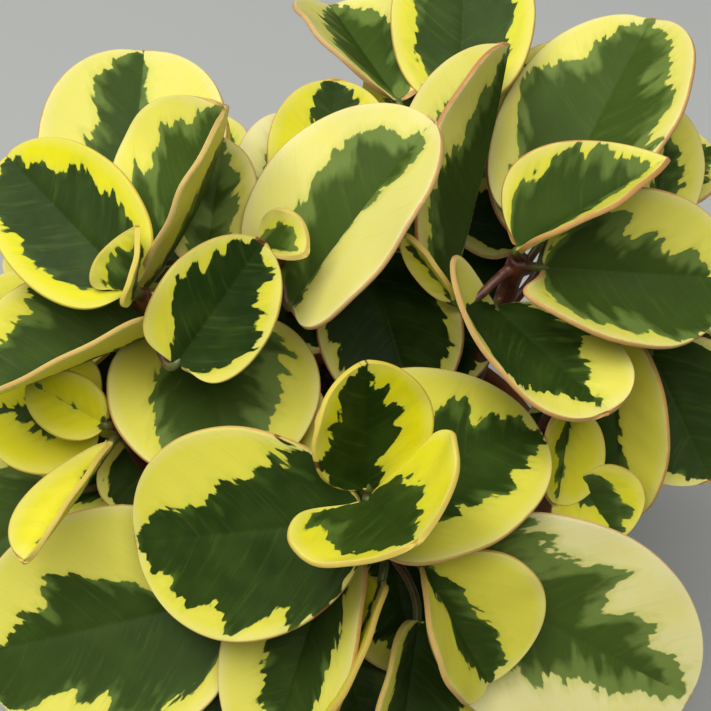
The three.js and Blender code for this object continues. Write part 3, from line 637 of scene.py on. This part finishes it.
# up the inside of the wall, then in rings 3 mm apart towards the middle of the surface
SOIL_PROFILE = [(45.2, 7.6), (inside_radius(60) - 0.6, 60), (inside_radius(106) - 0.6, 106),
                (inside_radius(115) - 0.7, 115)] + [(r, 117) for r in range(65, 2, -3)]
soil = turned("soil", SOIL_PROFILE, SOIL_SIDES)
close_and_turn_out(soil)
SEED = 7
rng = random.Random(SEED)
points = coordinates(soil)
crumbly = points[:, 2] > 116 * MM
seeds = np.array([[rng.uniform(-64, 64), rng.uniform(-64, 64), rng.uniform(2.5, 6),
                   rng.uniform(-0.9, 0.9)] for _ in range(SOIL_HUMPS)])
lift = np.zeros(len(points))
for x, y, wide, tall in seeds:
    gap = np.hypot(points[:, 0] / MM - x, points[:, 1] / MM - y)
    lift += tall * np.exp(-(gap / wide) ** 2)
points[:, 2] += np.where(crumbly, np.clip(lift, -1.2, 0.9), 0) * MM
move_to(soil, points)

bpy.ops.object.select_all(action="DESELECT")
bpy.ops.mesh.primitive_ico_sphere_add(subdivisions=2, radius=1 * MM)
crumb = named("crumb")
points = coordinates(crumb)
LUMPS = np.array([[2.1, 3.0, 1.7], [1.3, 2.6, 3.9], [3.1, 0.7, 2.2]])   # waves over a crumb
points *= 1 + 0.25 * np.sin(points / MM @ LUMPS)
move_to(crumb, points)
crumbs = []
for _ in range(SOIL_CRUMBS):
    away, turn = 66 * math.sqrt(rng.random()), rng.uniform(0, 2 * math.pi)
    x, y = away * math.cos(turn), away * math.sin(turn)
    if min(math.hypot(x - foot[0], y - foot[1]) - r for r, foot, _, _ in STEMS.values()) < 1.5:
        continue
    size = rng.uniform(0.5, 1.5) ** 1.5
    copy = crumb.copy()
    copy.data = crumb.data.copy()
    bpy.context.collection.objects.link(copy)
    copy.location = (x * MM, y * MM, (117.4 + 0.3 * size * rng.random()) * MM)
    copy.rotation_euler = [rng.uniform(0, 2 * math.pi) for _ in range(3)]
    copy.scale = (size * rng.uniform(0.8, 1.7), size, size * rng.uniform(0.5, 0.9))
    crumbs.append(copy)
bpy.data.objects.remove(crumb)
deselect()
for copy in crumbs:
    copy.select_set(True)
bpy.context.view_layer.objects.active = crumbs[0]
bpy.ops.object.join()
bpy.ops.object.transform_apply(location=True, rotation=True, scale=True)
crumbs = named("soil_crumbs")
smooth(soil)
smooth(crumbs)
finish_piece(soil, SOIL, "soil", "soil")
finish_piece(crumbs, SOIL, "soil")


# ---- stems and leaf stalks -----------------------------------------------------------------
def unit(v):
    return v / np.linalg.norm(v)


def stem_point(stem, u):
    _, foot, knee, top = stem
    p, q, r = np.array([*foot, SOIL_TOP]), np.array(knee), np.array(top)
    return p * (1 - u) * (1 - 2 * u) + q * 4 * u * (1 - u) + r * u * (2 * u - 1)


def blade_axes(heading, rise, roll):
    """The blade's own axes: d from stalk to tip, n out of its upper face, b to its left."""
    h, r, k = (math.radians(x) for x in (heading, rise, roll))
    d = np.array([math.cos(h) * math.cos(r), math.sin(h) * math.cos(r), math.sin(r)])
    n = np.array([-math.cos(h) * math.sin(r), -math.sin(h) * math.sin(r), math.cos(r)])
    n = n * math.cos(k) + np.cross(d, n) * math.sin(k)
    return d, n, np.cross(n, d)


def half_width(leaf, s):
    mid, tip = leaf["mid"], leaf["tip"]
    rising = (np.maximum(s, 1e-9) / mid) ** (tip * mid / (1 - mid))
    falling = (np.maximum(1 - s, 0) / (1 - mid)) ** tip
    return np.maximum(leaf["width"] / 2 * rising * falling, NECK * (1 - s) ** 2)


def near_base(leaf, s, t):
    """How near a row is to the blade's base; nought on the plain side of a leaf that has its
    other side curled, since its lobe and its ear are only on that one."""
    along = s / NEAR_BASE
    return np.where(leaf["curl"] * t < 0, 0, along * np.exp(1 - along))


def half_at(leaf, s, t):
    return half_width(leaf, s) + leaf["ear"] * near_base(leaf, s, t)


def blade_point(leaf, s, t, inward=0.0):
    """Points of the blade's middle surface: s along the leaf, t across it from -1 to 1. inward
    lowers a point by that much along the blade's normal axis before it bends."""
    d, n, b = leaf["axes"]
    bend = math.radians(leaf["arch"]) or 1e-6
    phi = bend / 2 - bend * s
    chord = leaf["length"] / (2 * math.sin(bend / 2))
    x = chord * (math.sin(bend / 2) - np.sin(phi)) - leaf["lobe"] * t * t * near_base(leaf, s, t)
    z = chord * (np.cos(phi) - math.cos(bend / 2))
    half = half_at(leaf, s, t)
    curled = np.where(t * leaf["curl"] > 0, np.radians(abs(leaf["curl"])), 0) * (1 - s) ** 1.5
    slope = math.radians(leaf["fold"]) * (1.2 - 0.4 * s)
    k = math.radians(leaf["cup"]) / (leaf["width"] / 2) + curled / np.maximum(half, 0.1)
    turned_by = slope + k * np.abs(t) * half
    across = np.sign(t) * (np.sin(turned_by) - np.sin(slope)) / k
    lift = (np.cos(slope) - np.cos(turned_by)) / k
    # out of the upper face where the blade is turned up by its fold, cup and curl
    out, aside = -inward * np.cos(turned_by), inward * np.sign(t) * np.sin(turned_by)
    lift = lift + out
    return np.array(leaf["base"]) + (x - lift * np.sin(phi))[..., None] * d \
        + (z + lift * np.cos(phi))[..., None] * n + (across + aside)[..., None] * b


def stalk_line(stem, leaf, steps):
    """From inside the stem to where the blade begins, then on under the midrib."""
    d, n, _ = leaf["axes"]
    start, base = stem_point(stem, leaf["at"]), np.array(leaf["base"])
    up = unit(start - stem_point(stem, leaf["at"] - 0.02))
    leave = unit(unit(base - start) + 0.5 * up)
    half = math.radians(leaf["arch"]) / 2
    arrive = d * math.cos(half) + n * math.sin(half)
    reach = 0.35 * np.linalg.norm(base - start)
    u = np.linspace(0, 1, steps)[:, None]
    line = (1 - u) ** 3 * start + 3 * (1 - u) ** 2 * u * (start + leave * reach) \
        + 3 * (1 - u) * u * u * (base - arrive * reach) + u ** 3 * base
    return np.vstack([line, blade_point(leaf, RIDGE, np.zeros(len(RIDGE)), 0.7)])


def rod(name, line, radii):
    """A round rod along a line of points, with a radius at each, as a closed mesh."""
    deselect()
    bpy.ops.curve.primitive_nurbs_path_add(radius=MM)
    curve = bpy.context.object
    curve.data.splines.clear()
    spline = curve.data.splines.new("POLY")
    spline.points.add(len(line) - 1)
    for point, place, radius in zip(spline.points, line, radii):
        point.co = (*[x * MM for x in place], 1)
        point.radius = radius
    curve.data.dimensions = "3D"
    curve.data.bevel_depth = MM
    curve.data.bevel_resolution = 3
    curve.data.use_fill_caps = True
    bpy.ops.object.convert(target="MESH")
    return named(name)


def join(pieces, name):
    deselect()
    for piece in pieces:
        piece.select_set(True)
    bpy.context.view_layer.objects.active = pieces[0]
    bpy.ops.object.join()
    return named(name)


STEM_STEPS, STALK_STEPS = 34, 14
STALK_RADII = [0, 0.25, 0.6, 1], [2.1, 1.75, 1.55, 1.6]   # how far along, and the radius there
RIDGE = np.array([0.04, 0.1, 0.18, 0.28, 0.4])            # where the stalk runs on as a midrib
RIDGE_RADII = np.array([1.35, 1.15, 0.95, 0.75, 0.4])
SKIN_GRAIN = 0.55   # size of the cells that fuse a stem and its stalks
CHUNK = 4000        # points measured at a time, to save memory


def stem_line(stem, steps):
    """The stem's line and how far up each point is, from 0 at the soil to 1 at the top."""
    u = np.linspace(0, 1, steps)
    rising = np.array([stem_point(stem, v) for v in u])
    foot = np.array([[*stem[1], STEM_FOOT], [*stem[1], SOIL_TOP - 4]])
    rising[0, 2] += 1
    return np.vstack([foot, rising]), np.concatenate([[0, 0], u])


def make_stem(letter):
    stem = STEMS[letter]
    line, u = stem_line(stem, STEM_STEPS)
    radii = stem[0] * (1 - 0.3 * u)
    leaves = [leaf for leaf in PLANT if leaf["name"][0] == letter]
    for leaf in leaves:   # a knuckle where each stalk leaves
        radii = radii * (1 + 0.12 * np.exp(-((u - leaf["at"]) / 0.03) ** 2))
    rods = [rod("stem_" + letter, line, radii)]
    lines = [(line, np.zeros(len(line)))]
    for leaf in leaves:
        path = stalk_line(stem, leaf, STALK_STEPS)
        thick = np.concatenate([np.interp(np.linspace(0, 1, STALK_STEPS), *STALK_RADII),
                                RIDGE_RADII])
        rods.append(rod("stalk", path, thick))
        lines.append((path, np.linspace(0.0, 1.3, len(path))))
    piece = join(rods, "stem_" + letter)
    apply_modifier(piece, "REMESH", mode="VOXEL", voxel_size=SKIN_GRAIN * MM)
    apply_modifier(piece, "SMOOTH", factor=0.5, iterations=4)
    points = coordinates(piece) / MM
    nearest, value = np.full(len(points), 1e9), np.zeros(len(points))
    for path, greenness in lines:
        dense = np.linspace(0, len(path) - 1, 6 * len(path))
        fine = np.stack([np.interp(dense, range(len(path)), path[:, k]) for k in range(3)], 1)
        shade = np.interp(dense, range(len(path)), greenness)
        for begin in range(0, len(points), CHUNK):
            part = points[begin:begin + CHUNK]
            gap = np.linalg.norm(part[:, None] - fine[None], axis=2)
            best = gap.argmin(1)
            found = gap[np.arange(len(part)), best]
            closer = found < nearest[begin:begin + CHUNK]
            nearest[begin:begin + CHUNK][closer] = found[closer]
            value[begin:begin + CHUNK][closer] = shade[best][closer]
    attribute(piece, "stalk", value)
    smooth(piece)
    finish_piece(piece, STEM, "leaf", "leafy_stem_" + letter)
    return piece


# ---- leaf blades ---------------------------------------------------------------------------
BLADE_ACROSS = 26
BLADE_ALONG = 34
SIDE_VEINS = 6


def green_reach(digits, v):
    """How far the green reaches, in parts of the half blade, on the side vein that leaves the
    midrib at v."""
    values = [int(c) / 10 if c != "9" else 0.95 for c in digits]
    return np.interp(v, np.linspace(-0.2, 1, len(values)), values)


def vein_start(leaf, s, t, wide):
    """Where on the midrib, from 0 to 1, the side vein through a point begins."""
    lean = SIDE_VEIN_LEAN * np.abs(t) * wide / leaf["length"]
    return s - lean * (1 + SIDE_VEIN_BOW * np.abs(t))


def make_blade(leaf, number):
    deselect()
    bpy.ops.mesh.primitive_grid_add(x_subdivisions=BLADE_ACROSS, y_subdivisions=BLADE_ALONG,
                                    size=2)
    blade = named("leaf_" + leaf["name"])
    grid = coordinates(blade)
    # more columns by the midrib and by the margin, more rows by the base and by the tip
    t = grid[:, 0] - 0.6 * np.sin(2 * np.pi * grid[:, 0]) / (2 * np.pi)
    s = (1 - np.cos(np.pi * (grid[:, 1] + 1) / 2)) / 2
    layer = blade.data.uv_layers.active or blade.data.uv_layers.new(name="UVMap")
    layer.name = "blade"
    corners = np.empty(len(blade.data.loops), int)
    blade.data.loops.foreach_get("vertex_index", corners)
    layer.data.foreach_set("uv", np.stack([(t[corners] + 1) / 2, s[corners]], 1).ravel())
    a, b, c = 0.7 * number, 1.3 * number + 1, 2.1 * number + 2
    wide = half_at(leaf, s, t)
    # uneven growth: the margin waves a little and the blade swells between its side veins
    side = np.sign(t)
    wave = 0.014 * leaf["width"] * t ** 2 * (
        0.6 * np.sin(2 * np.pi * 1.4 * s + a + 1.5 * side) + 0.4 * np.sin(19 * s + b * side))
    ribs = np.cos(2 * np.pi * SIDE_VEINS * vein_start(leaf, s, t, wide) + c)
    swell = 0.16 * ribs * np.sin(np.pi * np.minimum(np.abs(t) * 1.1, 1))
    groove = 0.55 * np.exp(-(t * wide / 1.5) ** 2)
    groove *= np.clip(1 - s, 0, 1) ** 0.6 * np.clip(s * 8, 0, 1)
    points = blade_point(leaf, s, t, -(wave + swell) * np.clip(5 * (1 - s), 0, 1) + groove)
    move_to(blade, points * MM)
    only(blade)
    bpy.ops.object.mode_set(mode="EDIT")
    bpy.ops.mesh.select_all(action="SELECT")
    bpy.ops.mesh.remove_doubles(threshold=0.02 * MM)
    bpy.ops.object.mode_set(mode="OBJECT")
    apply_modifier(blade, "SOLIDIFY", thickness=BLADE * MM, offset=0, use_even_offset=False)
    apply_modifier(blade, "SUBSURF", levels=1, render_levels=1)
    paint_blade(blade, leaf, number)
    smooth(blade)
    finish_piece(blade, LEAF, "leaf", "leafy_stem_" + leaf["name"][0])
    return blade


def paint_blade(blade, leaf, number):
    """Gives each point of a blade its place between the side veins, how deep in the green patch
    it lies and how far it is from the rim, in millimetres."""
    mesh = blade.data
    corners = np.empty(len(mesh.loops), int)
    mesh.loops.foreach_get("vertex_index", corners)
    uv = np.empty(len(mesh.loops) * 2)
    mesh.uv_layers["blade"].data.foreach_get("uv", uv)
    uv = uv.reshape(-1, 2)
    place = np.zeros((len(mesh.vertices), 2))
    place[corners] = uv
    t, s = np.clip(place[:, 0] * 2 - 1, -1, 1), np.clip(place[:, 1], 0, 1)
    wide = half_at(leaf, s, t)
    length = leaf["length"]
    v = vein_start(leaf, s, t, wide)
    reach = np.where(t >= 0, green_reach(leaf["left"], v), green_reach(leaf["right"], v))
    attribute(blade, "reach", (reach - np.abs(t)) * wide)
    attribute(blade, "rim", np.minimum((1 - np.abs(t)) * wide, (1 - s) * length * 0.8))
    attribute(blade, "vein", np.stack([v * length, t * wide, np.full(len(t), 7.3 * number)], 1),
              "FLOAT_VECTOR")
    attribute(blade, "tone", np.tile([*leaf["tone"], 1], (len(t), 1)), "FLOAT_COLOR")


PLANT = []
for name, at, base, heading, rise, roll, length, width, shape, left, right, tone in LEAVES:
    PLANT.append({**FLAT, **shape, "name": name, "at": at, "base": base, "length": length,
                  "width": width, "left": left, "right": right, "tone": tone,
                  "axes": blade_axes(heading, rise, roll)})
for letter in STEMS:
    make_stem(letter)
for number, leaf in enumerate(PLANT):
    make_blade(leaf, number)
